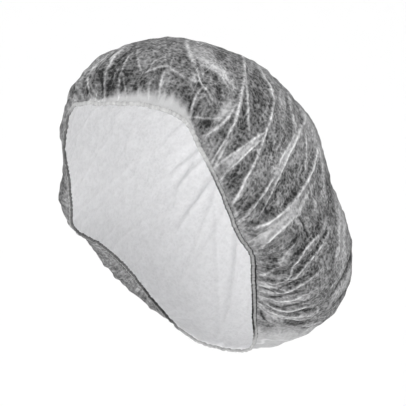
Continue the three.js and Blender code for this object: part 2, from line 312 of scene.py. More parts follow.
# %% [markdown]
# ## The chart of the creases
# On the real cap every crease is a place where the thin cloth is doubled, so it shows as a
# pale line. Each is charted once, in the dots of the view: three points that it passes
# through, then its half width in millimetres, how pale it is and how many millimetres it
# stands up. A negative light and rise is a valley, its darkness painted shade.

# %% Crease chart
Crease = namedtuple("Crease", "start middle end width light rise")
TOP_CREASES = [
    ((186, 40), (190, 53), (196, 67), 2.0, 0.75, 0.8),
    ((193, 61), (202, 83), (213, 101), 1.1, 0.9, 1.4),
    ((204, 86), (195, 99), (191, 117), 1.2, 0.85, 1.4),
    ((191, 117), (204, 118), (218, 118), 1.0, 0.65, 0.8),
    ((236, 104), (222, 124), (202, 137), 1.2, 0.9, 2.2),
    ((209, 134), (210, 140), (213, 145), 0.9, 0.5, 0.6),
    ((142, 72), (154, 70), (169, 65), 1.2, 0.75, 1.2),
    ((169, 65), (178, 73), (190, 80), 1.4, 0.7, 1.2),
    ((190, 80), (194, 81), (199, 80), 1.1, 0.5, 0.6),
    ((174, 57), (172, 61), (169, 65), 0.9, 0.5, 0.6),
    ((192, 56), (219, 69), (238, 94), 2.8, 0.5, 0.8),
    ((198, 64), (222, 77), (231, 106), 1.3, 0.5, 0.8),
    ((202, 70), (215, 77), (218, 98), 2.2, -0.5, -0.8),
    ((221, 87), (224, 96), (223, 105), 1.2, 0.35, 0.6),
    ((206, 99), (211, 104), (216, 100), 1.2, 0.3, 0.4),
]
FRONT_CREASES = [
    ((137, 50), (138, 60), (140, 71), 1.2, 0.6, 1.0),
    ((134, 51), (123, 69), (119, 95), 1.1, 0.85, 0.9),
    ((123, 70), (124, 80), (126, 94), 1.0, 0.6, 0.8),
    ((131, 43), (108, 67), (104, 96), 1.0, 0.75, 0.5),
    ((125, 46), (104, 61), (91, 80), 0.8, 0.55, 0.3),
    ((116, 48), (98, 62), (86, 77), 0.9, 0.6, 0.3),
    ((126, 55), (114, 72), (111, 92), 0.8, 0.3, 0.3),
    ((110, 50), (90, 68), (80, 88), 0.9, 0.4, 0.2),
    ((106, 60), (92, 78), (88, 98), 0.8, 0.4, 0.3),
    ((124, 49), (111, 59), (102, 70), 0.8, 0.5, 0.3),
    ((87, 74), (87, 85), (95, 99), 0.9, 0.7, 0.5),
    ((91, 73), (93, 84), (98, 98), 0.8, 0.4, 0.4),
    ((100, 70), (97, 80), (99, 93), 0.9, 0.35, 0.6),
    ((80, 83), (80, 92), (83, 102), 0.8, 0.6, 0.4),
    ((75, 88), (75, 97), (79, 106), 0.8, 0.5, 0.3),
    ((70, 95), (71, 102), (75, 110), 0.8, 0.5, 0.3),
    ((154, 79), (150, 85), (149, 96), 1.1, 0.6, 0.8),
    ((168, 68), (162, 77), (159, 96), 1.1, 0.55, 0.8),
    ((101, 77), (102, 86), (101, 94), 1.3, -0.8, -1.0),
    ((140, 76), (139, 85), (138, 94), 0.9, 0.3, 0.4),
]
SIDE_CREASES = [
    ((242, 52), (244, 62), (245, 73), 1.6, 0.85, 1.2),
    ((245, 68), (239, 107), (225, 143), 1.7, 1.0, 2.4),
    ((245, 69), (248, 103), (249, 135), 1.4, 1.0, 1.6),
    ((227, 137), (219, 150), (212, 163), 1.1, 0.75, 1.6),
    ((230, 138), (224, 151), (216, 166), 1.1, 0.6, 1.2),
    ((267, 131), (243, 146), (217, 166), 1.0, 0.75, 1.4),
    ((266, 135), (247, 153), (225, 173), 1.0, 0.7, 1.2),
    ((258, 66), (269, 84), (275, 104), 1.4, 0.8, 1.4),
    ((275, 100), (268, 127), (254, 168), 1.4, 0.9, 2.0),
    ((258, 159), (244, 183), (232, 207), 1.3, 0.85, 2.0),
    ((297, 131), (285, 152), (276, 172), 1.0, 0.5, 1.2),
    ((279, 168), (262, 196), (239, 224), 1.3, 0.9, 2.0),
    ((302, 127), (284, 167), (262, 213), 1.2, 0.85, 2.0),
    ((268, 188), (254, 206), (239, 223), 1.6, 0.6, 1.2),
    ((274, 190), (266, 205), (258, 220), 1.0, 0.6, 1.0),
    ((288, 92), (292, 112), (296, 132), 1.4, 0.85, 1.2),
    ((283, 93), (284, 110), (283, 127), 2.4, 0.3, 0.8),
    ((280, 89), (280, 94), (280, 99), 1.0, 0.6, 0.6),
    ((304, 113), (305, 121), (301, 128), 1.2, 0.7, 1.0),
    ((306, 127), (307, 150), (304, 176), 1.1, 0.5, 1.0),
    ((318, 149), (309, 178), (288, 209), 1.6, 0.85, 2.2),
    ((243, 229), (268, 223), (293, 203), 1.3, 0.95, 2.2),
    ((299, 214), (278, 233), (255, 254), 1.3, 0.7, 1.6),
    ((247, 233), (258, 234), (270, 229), 1.1, -0.7, -1.2),
    ((320, 148), (323, 172), (324, 204), 1.8, 0.45, 1.2),
    ((313, 184), (307, 196), (298, 214), 1.8, 0.6, 1.2),
    ((312, 193), (314, 202), (317, 212), 1.1, 0.6, 0.8),
    ((298, 216), (303, 225), (308, 236), 1.2, -0.9, -1.6),
    ((302, 227), (302, 233), (298, 241), 1.1, -0.6, -1.0),
]
BAG_CREASES = [
    ((339, 205), (339, 238), (335, 270), 1.6, 0.45, 1.2),
    ((343, 212), (345, 245), (341, 276), 1.3, 0.4, 1.0),
    ((351, 238), (347, 266), (331, 295), 1.5, -0.65, -2.4),
    ((354, 270), (347, 288), (331, 307), 1.2, -0.6, -1.4),
    ((300, 236), (291, 249), (281, 263), 1.4, 0.5, 1.2),
    ((281, 264), (271, 272), (256, 276), 1.2, 0.65, 1.4),
    ((319, 235), (302, 254), (289, 278), 1.2, 1.0, 1.8),
    ((293, 272), (278, 284), (255, 282), 1.2, 0.9, 1.8),
    ((331, 228), (313, 259), (281, 289), 1.2, 0.85, 1.8),
    ((285, 286), (270, 288), (255, 285), 1.1, 0.8, 1.4),
    ((328, 229), (324, 236), (320, 242), 1.2, -0.7, -1.2),
    ((318, 272), (290, 291), (255, 291), 1.2, 0.9, 1.8),
    ((259, 288), (274, 289), (290, 284), 1.0, -0.8, -1.0),
    ((262, 296), (278, 297), (300, 290), 1.0, -0.7, -1.0),
    ((307, 294), (286, 302), (263, 298), 1.1, 0.8, 1.4),
    ((309, 299), (290, 306), (270, 303), 1.0, -0.7, -1.0),
    ((319, 303), (286, 311), (258, 297), 1.2, 0.9, 1.8),
    ((316, 308), (304, 311), (290, 313), 0.9, -0.7, -1.0),
    ((319, 311), (286, 317), (257, 303), 1.2, 0.9, 1.8),
    ((317, 317), (288, 321), (262, 311), 1.1, 0.75, 1.4),
    ((310, 321), (298, 323), (286, 322), 0.9, -0.8, -1.0),
    ((284, 322), (270, 318), (260, 308), 0.9, 0.6, 1.0),
    ((284, 326), (270, 321), (260, 311), 1.1, -1.0, -1.8),
    ((318, 324), (308, 327), (296, 325), 0.9, -0.5, -0.6),
]
CREASES = [Crease(*row) for row in TOP_CREASES + FRONT_CREASES + SIDE_CREASES + BAG_CREASES]
print(len(CREASES), "charted creases")

# %% [markdown]
# ## Tones
# The cloth is see-through, so what fills the cap darkens it. It is darkest where the cloth
# lies tight, and paler in flat pleats, where two layers lie on each other, and along the
# front and the bottom, where nothing fills it. Some dark bands and spots are painted shade
# in deep folds and gaps instead. A band follows an arc and may widen along it; a spot is
# round. Their places are in dots too, and their half widths in millimetres.

# %% Tone chart
Band = namedtuple("Band", "start middle end narrow wide tone")
BAND_ROWS = [
    ((188, 49), (212, 62), (234, 88), 7.0, 4.0, 0.8),
    ((233, 100), (222, 115), (206, 131), 4.0, 3.0, 1.4),
    ((265, 133), (245, 150), (220, 170), 1.6, 4.8, 1.6),
    ((228, 139), (221, 151), (214, 164), 1.4, 2.4, 0.9),
    ((246, 182), (240, 194), (232, 206), 1.4, 2.6, 0.5),
    ((300, 130), (288, 151), (275, 175), 2.2, 3.6, 1.4),
    ((283, 166), (276, 180), (270, 192), 2.4, 1.4, 0.6),
    ((303, 200), (277, 225), (250, 243), 5.0, 7.0, 1.7),
    ((317, 154), (309, 180), (296, 202), 1.6, 3.0, 0.6),
    ((250, 62), (262, 68), (272, 82), 4.0, 3.0, 0.5),
    ((277, 88), (281, 105), (281, 124), 5.0, 3.0, 0.5),
    ((298, 104), (312, 128), (321, 160), 3.0, 3.0, 0.7),
    ((336, 196), (341, 226), (340, 258), 3.5, 4.4, 0.9),
    ((352, 264), (346, 280), (330, 301), 1.4, 2.0, 1.0),
    ((352, 238), (352, 254), (346, 269), 1.6, 1.8, -0.25),
    ((123, 56), (113, 72), (111, 93), 3.4, 4.4, -1.3),
    ((256, 78), (259, 100), (255, 128), 4.0, 5.0, -0.7),
    ((243, 108), (243, 124), (236, 142), 2.5, 5.0, -0.8),
    ((328, 176), (330, 195), (331, 216), 2.4, 3.0, -0.7),
    ((323, 214), (309, 238), (291, 262), 3.0, 2.6, -0.8),
    ((325, 235), (312, 256), (291, 277), 2.4, 2.0, -1.0),
    ((322, 258), (306, 275), (286, 287), 2.0, 1.6, -0.8),
    ((306, 228), (296, 238), (283, 253), 1.6, 2.0, -0.7),
    ((288, 170), (272, 200), (262, 218), 2.0, 4.0, -0.5),
    ((302, 180), (288, 202), (266, 217), 4.0, 4.0, -0.5),
]
Spot = namedtuple("Spot", "across down wide high tone")
SPOT_ROWS = [
    (203, 49, 12, 6, 0.4),
    (222, 53, 5, 4, -0.5),
    (206, 124, 8, 2.8, -2.2),
    (222, 134, 5, 6, -0.7),
    (218, 93, 3, 5, -0.4),
    (190, 101, 3, 4, -0.8),
    (180, 90, 9, 5, -0.5),
    (197, 109, 4, 5, -0.5),
    (155, 84, 3, 3, -1.0),
    (84, 92, 3, 4, -1.0),
    (74, 102, 3, 4, -0.7),
    (96, 80, 5, 9, -0.4),
    (228, 183, 8, 9, -1.2),
    (303, 138, 9, 20, 0.5),
    (286, 306, 26, 13, 0.4),
    (243, 168, 7, 7, -0.5),
    (239, 209, 4, 3, -0.9),
    (251, 223, 6, 2.5, -1.1),
    (257, 205, 6, 6, -0.2),
    (267, 262, 9, 8, -1.4),
    (112, 80, 15, 13, -0.85),
    (136, 84, 9, 7, -0.4),
    (80, 96, 8, 10, -0.7),
    (284, 180, 4, 8, -0.4),
    (268, 148, 5, 8, -0.2),
    (288, 250, 6, 6, 0.2),
    (252, 285, 5, 12, 0.6),
]
BANDS = [Band(*row) for row in BAND_ROWS]
SPOTS = [Spot(*row) for row in SPOT_ROWS]
print(len(BANDS), "bands and", len(SPOTS), "spots")


# %% [markdown]
# ## Distances on the chart
# An arc is walked in a few straight steps. For each point of the cloth the nearest step
# gives a distance, with a sign for the side it lies on, and how far along the arc it is.

# %% Arc distances
ARC_STEPS = 8


def in_view(points):
    offset = points - VIEW_TARGET
    nearer = VIEW_DISTANCE / (VIEW_DISTANCE - offset @ view_back) / MM_PER_DOT
    across = PICTURE_SIDE / 2 + (offset @ view_right) * nearer
    down = PICTURE_SIDE / 2 - (offset @ view_up) * nearer
    return np.stack([across, down], axis=-1)


def arc_points(row):
    t = np.linspace(0, 1, ARC_STEPS + 1)[:, None]
    start, middle, end = (np.array(place, float) for place in (row.start, row.middle, row.end))
    return start * (1 - t) * (1 - 2 * t) + middle * 4 * t * (1 - t) + end * t * (2 * t - 1)


def arc_distance(places, row):
    stops = arc_points(row)
    nearest = np.full(places.shape[:-1], np.inf)
    signed = np.zeros(places.shape[:-1])
    along = np.zeros(places.shape[:-1])
    for i in range(ARC_STEPS):
        step = stops[i + 1] - stops[i]
        offset = places - stops[i]
        t = np.clip(offset @ step / (step @ step), 0, 1)
        gap = offset - t[..., None] * step
        distance = np.hypot(gap[..., 0], gap[..., 1]) * MM_PER_DOT
        side = step[0] * offset[..., 1] - step[1] * offset[..., 0]
        closer = distance < nearest
        nearest = np.where(closer, distance, nearest)
        signed = np.where(closer, np.where(side < 0, -distance, distance), signed)
        along = np.where(closer, (i + t) / ARC_STEPS, along)
    return signed, along


def fade_ends(along, margin=0.06, power=0.6):
    inset = margin + (1 - 2 * margin) * np.clip(along, 0, 1)
    return np.sin(math.pi * inset) ** power


print("from a middle point to its arc:", arc_distance(np.array([[190, 53]]), CREASES[0])[0], "mm")

# %% [markdown]
# ## From the chart to the cloth
# Each crease adds its height to the relief. For the material it leaves two numbers at every
# point: the signed distance counted in half widths, and the strength. The line itself is
# drawn by the material, so it stays crisp between the points of the mesh. Creases that run
# close together would wipe each other out in one channel, so each goes to the channel whose
# creases are farthest from it. The relief moves the cloth a little in the view, so the
# chart is laid on once to find the relief, and once more on the raised cloth. The far side
# gets the same chart mirrored, a little turned, smaller and shifted.

# %% Field of the charted creases
CHANNELS = 6
LINE_REACH = 3.6
RELIEF_SPREAD = 1.5
WEAKEST = 0.01
BAND_POWER = 4
SPOT_POWER = 1.5


def spread_channels(rows):
    stops = [arc_points(row) for row in rows]
    channels = []
    for number, mine in enumerate(stops):
        room = np.full(CHANNELS, np.inf)
        for other, channel in zip(stops, channels):
            gap = np.linalg.norm(mine[:, None] - other[None, :], axis=-1).min()
            room[channel] = min(room[channel], gap)
        channels.append(int(np.argmax(room)))
    return channels


class Fields:
    def __init__(self, shape):
        self.relief = np.zeros(shape)
        self.tone = np.zeros(shape)
        self.nearest = np.full((CHANNELS, *shape), np.inf)
        self.signed = np.zeros((CHANNELS, *shape))
        self.strength = np.zeros((CHANNELS, *shape))

    def add_line(self, channel, signed, strength, width, rise):
        self.relief += rise * bell(signed, width * RELIEF_SPREAD)
        units = signed / width
        away = np.abs(units)
        closer = (away < self.nearest[channel]) & (np.abs(strength) > WEAKEST)
        near_line = 1 - smooth_step(away, LINE_REACH - 1, LINE_REACH)
        self.nearest[channel] = np.where(closer, away, self.nearest[channel])
        self.signed[channel] = np.where(closer, units, self.signed[channel])
        self.strength[channel] = np.where(closer, strength * near_line, self.strength[channel])


def chart_fields(places):
    fields = Fields(places.shape[:-1])
    for crease, channel in zip(CREASES, spread_channels(CREASES)):
        signed, along = arc_distance(places, crease)
        ends = fade_ends(along)
        fields.add_line(channel, signed, crease.light * ends, crease.width, crease.rise * ends)
    for band in BANDS:
        signed, along = arc_distance(places, band)
        half = band.narrow + (band.wide - band.narrow) * along
        fields.tone += band.tone * fade_ends(along) * bell(signed, half, BAND_POWER)
    for spot in SPOTS:
        across = (places[..., 0] - spot.across) * MM_PER_DOT / spot.wide
        down = (places[..., 1] - spot.down) * MM_PER_DOT / spot.high
        fields.tone += spot.tone * np.exp(-((across**2 + down**2) ** SPOT_POWER))
    return fields


FACING_FROM, FACING_TO = 0.0, 0.2
FAR_SHIFT = np.array([-3.0, -8.0])
FAR_STRETCH = 0.95
FAR_LEAN = math.radians(3)
MIRROR = np.array([-1.0, 1.0, 1.0])

near_weight = smooth_step(normals @ view_back, FACING_FROM, FACING_TO)
far_weight = smooth_step((normals * MIRROR) @ view_back, FACING_FROM, FACING_TO) * (1 - near_weight)
raised = chart_fields(in_view(smooth)).relief * near_weight
near = chart_fields(in_view(smooth + normals * raised[..., None]))
cosine, sine = math.cos(FAR_LEAN), math.sin(FAR_LEAN)
far_turn = np.array([[cosine, sine], [-sine, cosine]])
far_places = (in_view(smooth * MIRROR) - PICTURE_SIDE / 2) @ far_turn * FAR_STRETCH
far_places += PICTURE_SIDE / 2 + FAR_SHIFT
far = chart_fields(far_places)
print("charted relief up to", round(float(near.relief.max()), 1), "mm")

# %% [markdown]
# ## Folds down the back
# The view never sees the back and the top, so they get long folds of their own that run
# from the crown to the hem, as the gathers of such a cap do. They are drawn by a seeded
# random generator, so the script gives the same cap each time. One broad puff on the far
# side stands out past the rim, as the view shows.

# %% Back folds
FoldRange = namedtuple("FoldRange", "count turn_from turn_to first last rise")
FOLD_RANGES = [
    FoldRange(38, 92.0, 268.0, (10, 50), (78, 106), 3.0),
    FoldRange(30, -92.0, 92.0, (4, 34), (52, 92), 1.3),
]
FOLD_PLACE = (0.2, 0.8)
FOLD_LEAN = (-22, 22)
FOLD_WIDTH = (1.1, 2.0)
FOLD_STRENGTH = (0.4, 0.95)
VALLEY_DEPTH = (-1.0, 0.35)
VALLEY_AWAY, VALLEY_SPREAD = 7, 5
SHADE_AWAY, SHADE_SPREAD, SHADE_SHARE = 6, 4, 0.8
PUFF_LINE = dict(line_turn=-66.0, lean=4.0, first=80.0, last=126.0)
PUFF_SPREAD, PUFF_RISE = 10.0, 4.6

chance = np.random.default_rng(21)
back = Fields(ring.shape)


def ring_line(line_turn, lean, first, last):
    along = (np.degrees(ring) - first) / (last - first)
    middle = np.radians(line_turn + lean * (np.clip(along, 0, 1) - 0.5))
    on_line = (along > 0) & (along < 1)
    away = wrapped(turn - middle) * reach * np.sin(ring)
    return away, np.where(on_line, fade_ends(along), 0)


for folds in FOLD_RANGES:
    spread = (folds.turn_to - folds.turn_from) / folds.count
    for number in range(folds.count):
        fold_turn = folds.turn_from + spread * (number + chance.uniform(*FOLD_PLACE))
        lean = chance.uniform(*FOLD_LEAN)
        first, last = chance.uniform(*folds.first), chance.uniform(*folds.last)
        width = chance.uniform(*FOLD_WIDTH)
        strength = chance.uniform(*FOLD_STRENGTH)
        signed, ends = ring_line(fold_turn, lean, first, last)
        height = folds.rise * strength * ends
        back.add_line(number % CHANNELS, signed, strength * ends, width, height)
        valley = chance.uniform(*VALLEY_DEPTH) * ends
        back.relief += folds.rise * valley * bell(signed - VALLEY_AWAY, VALLEY_SPREAD)
        # Painted shade beside each fold's valley darkens the tone there.
        back.tone += SHADE_SHARE * valley * bell(signed - SHADE_AWAY, SHADE_SPREAD)

puff_signed, puff_ends = ring_line(**PUFF_LINE)
puff = PUFF_RISE * puff_ends * bell(puff_signed, PUFF_SPREAD)
back_weight = np.clip(1 - near_weight - far_weight, 0, 1)
print("back folds:", sum(folds.count for folds in FOLD_RANGES))

# %% [markdown]
# ## Gathers and crumple
# The elastic draws the cloth up in many small irregular gathers. A sum of a few waves with
# seeded phases is irregular but never has a gap where the ring closes. A faint crumple of
# waves in space breaks up the smooth places between the folds.

# %% Gathers and crumple
Gather = namedtuple("Gather", "low high count rise reach")
GATHERS = [
    Gather(26, 44, 7, 1.2, 42.0),
    Gather(60, 96, 9, 0.7, 24.0),
    Gather(105, 140, 9, 0.4, 12.0),
]
GATHER_LEAN = (-1.5, 1.5)
GATHER_LEAN_OVER = 30.0
GATHER_SWELL = 9.0
RIM_SHARE = 0.3
RIM_CALM = 12.0
CRUMPLE_WAVES = 60
CRUMPLE_LENGTH = (7, 24)
CRUMPLE_RISE = 0.35


def irregular_waves(low, high, count, lean):
    total = np.zeros(ring.shape)
    for waves in chance.integers(low, high, count):
        phase = chance.uniform(0, 2 * math.pi)
        total += np.cos(waves * turn + phase + lean * from_rim / GATHER_LEAN_OVER)
    return total / math.sqrt(count / 2)


swell = RIM_SHARE + (1 - RIM_SHARE) * smooth_step(from_rim, 0, GATHER_SWELL)
gathers = np.zeros(ring.shape)
for row in GATHERS:
    wave = irregular_waves(row.low, row.high, row.count, chance.uniform(*GATHER_LEAN))
    gathers += row.rise * wave * bell(from_rim, row.reach) * swell

crumple = np.zeros(ring.shape)
for _ in range(CRUMPLE_WAVES):
    heading = chance.normal(size=3)
    heading *= 2 * math.pi / (chance.uniform(*CRUMPLE_LENGTH) * np.linalg.norm(heading))
    crumple += np.sin(smooth @ heading + chance.uniform(0, 2 * math.pi))
crumple *= CRUMPLE_RISE / math.sqrt(CRUMPLE_WAVES / 2)
print("gathers up to", round(float(np.abs(gathers).max()), 1), "mm")

# %% [markdown]
# ## Building the cloth
# All the reliefs are added along the normals, and die out at the rim so that the edge stays
# on the hem. The view's outline is smooth, so the folds are kept low where the cloth turns
# out of sight, and the gathers are lower on the far side. A Solidify modifier could give
# the inner face, but with as many points as the outer one. The folds run from the rim to
# the crown, so the inner face keeps every column and only each second ring. Rows of both
# faces then make one closed skin: down the outside, round the edge, and up the inside.

# %% Cloth mesh
CLOTH_WALL = 1.0
FAR_RELIEF = 0.6
FAR_CALM = 0.5
FAR_FROM, FAR_TO = 0.2, 0.7
OUTLINE_CALM = 0.7
OUTLINE_REACH = 0.24

calm = smooth_step(from_rim, 0, RIM_CALM)
folded = near.relief * near_weight + FAR_RELIEF * far.relief * far_weight
folded += back.relief * back_weight
folded *= 1 - OUTLINE_CALM * bell(normals @ view_back, OUTLINE_REACH)
gathers *= 1 - FAR_CALM * smooth_step(-np.sin(turn), FAR_FROM, FAR_TO)
relief = calm * (folded + puff + crumple) + gathers
cloth_points = smooth + normals * relief[..., None]
inner_points = cloth_points - normals * CLOTH_WALL


def both_faces(outer, inner=None):
    inner = outer if inner is None else inner
    return np.concatenate([outer, inner[1::2][::-1]])


def new_mesh_object(name, points, faces):
    mesh = bpy.data.meshes.new(name)
    mesh.from_pydata(points.tolist(), [], faces)
    mesh.shade_smooth()
    return new_object(name, mesh)


def make_closed_skin(name, rows, tips):
    count, columns = rows.shape[:2]
    points = np.concatenate([tips[:1], rows.reshape(-1, 3), tips[1:]]) * MM
    number = 1 + np.arange(count * columns).reshape(count, columns)
    after = np.roll(number, -1, axis=1)
    last = np.full(columns, len(points) - 1)
    quads = np.stack([number[:-1], number[1:], after[1:], after[:-1]], axis=-1).reshape(-1, 4)
    first_fan = np.stack([0 * last, number[0], after[0]], axis=-1)
    last_fan = np.stack([last, after[-1], number[-1]], axis=-1)
    faces = first_fan.tolist() + quads.tolist() + last_fan.tolist()
    return new_mesh_object(name, points, faces)


tips = np.stack([pole, pole - crown_axis * CLOTH_WALL])
crown = make_closed_skin("bouffant_crown", both_faces(cloth_points, inner_points), tips)
triangles = sum(len(f.vertices) - 2 for f in crown.data.polygons)
print("crown:", triangles, "triangles")

# %% [markdown]
# ## What the material needs to know
# Attributes carry the chart into the material: the crease channels, the tone, how strongly
# the cloth is gathered, which face it is, and a pair of directions that follow the cloth,
# one round the rim and one away from it. The round one is a circle, so it has no seam. One
# more says where the cloth is pale: in a ragged band at the front, and at the bag's bottom.
# Dark tones are limited softly, so that none turns flat. The last ring goes into the hem and
# lies in shade but for the front: a value far below zero keeps it at the darkest there.

# %% Cloth attributes
ROUND_RADIUS = 100.0
POLE_FROM_RIM = 0.2
NO_LINE = 9
LINES_FROM, LINES_TO = 0.3, 0.95
LINES_OFF_RIM = 3
BACK_TONE = 0.2
DARKEST_TONE = 1.25
GATHERED_REACH = 30.0
FRONT_TURNS = [-16, -8, 0, 8, 18, 24, 29, 35]
FRONT_WIDTHS = [0.0, 2.5, 7.0, 12.0, 15.0, 13.0, 5.0, 0.0]
FRONT_RAGGED = 0.25
FRONT_FROM, FRONT_TO = 1.5, 4.0
FRONT_SOLID = 0.35
EDGE_SHADE = -1000.0
BOTTOM_LOW, BOTTOM_HIGH = -243, -219
BOTTOM_RAGGED = 5
STRIP_LOW, STRIP_HIGH = -246, -226
STRIP_TONE, STRIP_AWAY, STRIP_SPREAD = 0.5, 3.0, 2.4


def per_point(values, at_tips=0.0):
    column = both_faces(np.asarray(values, float)).ravel()
    return np.concatenate([[at_tips], column, [at_tips]])


def store_float(piece, name, values):
    layer = piece.data.attributes.new(name, "FLOAT", "POINT")
    layer.data.foreach_set("value", values.astype(np.float32))


def store_vector(piece, name, columns):
    layer = piece.data.attributes.new(name, "FLOAT_VECTOR", "POINT")
    layer.data.foreach_set("vector", np.stack(columns, axis=-1).astype(np.float32).ravel())


weights = np.stack([near_weight, far_weight, back_weight])
picks = np.argmax(weights, axis=0)
line_share = smooth_step(weights.max(axis=0), LINES_FROM, LINES_TO)
line_share *= smooth_step(from_rim, 0, LINES_OFF_RIM)
for channel in range(CHANNELS):
    signed = np.choose(picks, [f.signed[channel] for f in (near, far, back)])
    strength = np.choose(picks, [f.strength[channel] for f in (near, far, back)]) * line_share
    columns = [per_point(signed, NO_LINE), per_point(strength), per_point(0 * turn)]
    store_vector(crown, f"crease_{channel}", columns)

store_vector(crown, "cloth_way", [
    per_point(ROUND_RADIUS * MM * np.cos(turn)),
    per_point(ROUND_RADIUS * MM * np.sin(turn)),
    per_point(from_rim * MM, POLE_FROM_RIM),
])
height_of = cloth_points[..., 2]
degrees = np.degrees(wrapped(turn))
front_width = read_table(FRONT_TURNS, FRONT_WIDTHS, degrees)
front_width *= 1 + FRONT_RAGGED * np.sin(degrees * 1.9) * np.sin(degrees * 0.7)
front_share = smooth_step(front_width, FRONT_FROM, FRONT_TO)
front_end = np.maximum(front_width, THINNEST)
pale_front = front_share * (1 - smooth_step(from_rim, FRONT_SOLID * front_end, front_end))
pale_bottom = 1 - smooth_step(height_of + BOTTOM_RAGGED * crumple, BOTTOM_LOW, BOTTOM_HIGH)
side_share = (1 - front_share) * smooth_step(height_of, STRIP_LOW, STRIP_HIGH)
rim_strip = STRIP_TONE * side_share * bell(from_rim - STRIP_AWAY, STRIP_SPREAD)
tone = near.tone * near_weight + far.tone * far_weight + (BACK_TONE + back.tone) * back_weight
tone = np.where(tone < 0, DARKEST_TONE * np.tanh(tone / DARKEST_TONE), tone)
store_float(crown, "tone", per_point(tone * calm + rim_strip))
pale = np.clip(pale_front + pale_bottom, 0, 1)
pale[-1] = np.where(front_width[-1] == 0, EDGE_SHADE, pale[-1])
store_float(crown, "pale", per_point(pale))
store_float(crown, "gathered", per_point(bell(from_rim, GATHERED_REACH)))
on_inside = np.zeros((RINGS + RINGS // 2, COLUMNS))
on_inside[RINGS:] = 1
store_float(crown, "inside", np.concatenate([[0], on_inside.ravel(), [1]]))
print("attributes:", [a.name for a in crown.data.attributes if not a.name.startswith(".")])

# %% [markdown]
# ## The hem
# The hem is a narrow strip of the same cloth rolled over an elastic. A ring primitive stops
# at 256 steps, too few for its fine gathers, so the ring is a grid that closes both ways.
# Each of its points is placed round the rim, and small waves gather it.

# %% Hem
HEM_STEPS = 1200
HEM_SIDES = 14
HEM_HEIGHT = 3.4
HEM_DEPTH = 2.2
HEM_SINK = 1.2
HEM_WAVES = Gather(110, 240, 14, 0.13, 0.0)

rim = cloth_points[-1]
rim_out = grid_normals(cloth_points)[-1]
rim_way = np.roll(rim, -1, axis=0) - np.roll(rim, 1, axis=0)
rim_down = np.cross(rim_way, rim_out)
rim_down /= np.linalg.norm(rim_down, axis=1, keepdims=True)
rim_down *= np.sign(np.sum(rim_down * (rim - cloth_points[-3]), axis=1, keepdims=True))

hem_turn = np.repeat(np.arange(HEM_STEPS), HEM_SIDES) * 2 * math.pi / HEM_STEPS
hem_side = np.tile(np.arange(HEM_SIDES), HEM_STEPS) * 2 * math.pi / HEM_SIDES - math.pi


def round_rim(rows_round, at_turn):
    steps = at_turn / (2 * math.pi) * COLUMNS
    low = np.floor(steps).astype(int) % COLUMNS
    part = (steps - np.floor(steps))[:, None]
    return rows_round[low] * (1 - part) + rows_round[(low + 1) % COLUMNS] * part


hem_wave = np.zeros(len(hem_turn))
for waves in chance.integers(HEM_WAVES.low, HEM_WAVES.high, HEM_WAVES.count):
    hem_wave += np.cos(waves * hem_turn + chance.uniform(0, 2 * math.pi))
hem_wave *= HEM_WAVES.rise / math.sqrt(HEM_WAVES.count / 2)

hem_down, hem_out = round_rim(rim_down, hem_turn), round_rim(rim_out, hem_turn)
hem_middle = round_rim(rim, hem_turn) + hem_down * (HEM_HEIGHT / 2 - HEM_SINK)
tall = (HEM_HEIGHT / 2 + hem_wave) * np.sin(hem_side)
deep = (HEM_DEPTH / 2 + hem_wave) * np.cos(hem_side)
hem_points = (hem_middle + hem_down * tall[:, None] + hem_out * deep[:, None]) * MM

first_corner = np.arange(len(hem_points)).reshape(HEM_STEPS, HEM_SIDES)
second_corner = np.roll(first_corner, -1, axis=1)
corners = [first_corner, second_corner]
corners += [np.roll(corner, -1, axis=0) for corner in (second_corner, first_corner)]
hem_faces = np.stack(corners, axis=-1).reshape(-1, 4).tolist()
hem = new_mesh_object("elasticated_hem", hem_points, hem_faces)
print("hem:", len(hem.data.polygons), "faces")

# %% [markdown]
# ## Where the hem is dark
# The elastic draws the hem in, but for the front and the very back. Where it does, the
# lower edge lies in shade, deepest a little before the back. The far side is calmer.

# %% Hem attributes
HEM_PALEST = math.radians(12)
HEM_FRONT, FRONT_FADE = math.radians(24), 0.3
HEM_BACK, BACK_FADE = math.radians(165), 0.2
HEM_SHADED, SHADED_SPREAD = math.radians(150), 0.22
HEM_FAR_CALM = 0.25
HEM_FAR_FROM, HEM_FAR_TO = 0.05, 0.3
EDGE_FROM, EDGE_TO = -0.1, 0.5

from_front = np.abs(wrapped(hem_turn))
from_palest = np.abs(wrapped(hem_turn - HEM_PALEST))
drawn_in = smooth_step(from_palest, HEM_FRONT, HEM_FRONT + FRONT_FADE)
drawn_in *= 1 - smooth_step(from_front, HEM_BACK - BACK_FADE, HEM_BACK)
drawn_in *= 1 - HEM_FAR_CALM * smooth_step(-np.sin(hem_turn), HEM_FAR_FROM, HEM_FAR_TO)
store_vector(hem, "cloth_way", [
    ROUND_RADIUS * MM * np.cos(hem_turn),
    ROUND_RADIUS * MM * np.sin(hem_turn),
    hem_side * MM,
])
store_float(hem, "drawn_in", drawn_in)
store_float(hem, "lower_edge", smooth_step(np.sin(hem_side), EDGE_FROM, EDGE_TO))
store_float(hem, "shaded", bell(from_front - HEM_SHADED, SHADED_SPREAD))
print("drawn in over", round(100 * float(np.mean(drawn_in > 0.5))), "percent of the hem")

# %% [markdown]
# ## A short hand for nodes
# A material is a graph of nodes. These helpers add a node with its settings and its inputs
# in one call, so that a recipe reads from top to bottom. The last one turns a grey as the
# eye sees it into light, and sets it on the shader with a bump.


# %% Node helpers
EYE_POWER = 2.2
BUMP_STRENGTH = 0.6


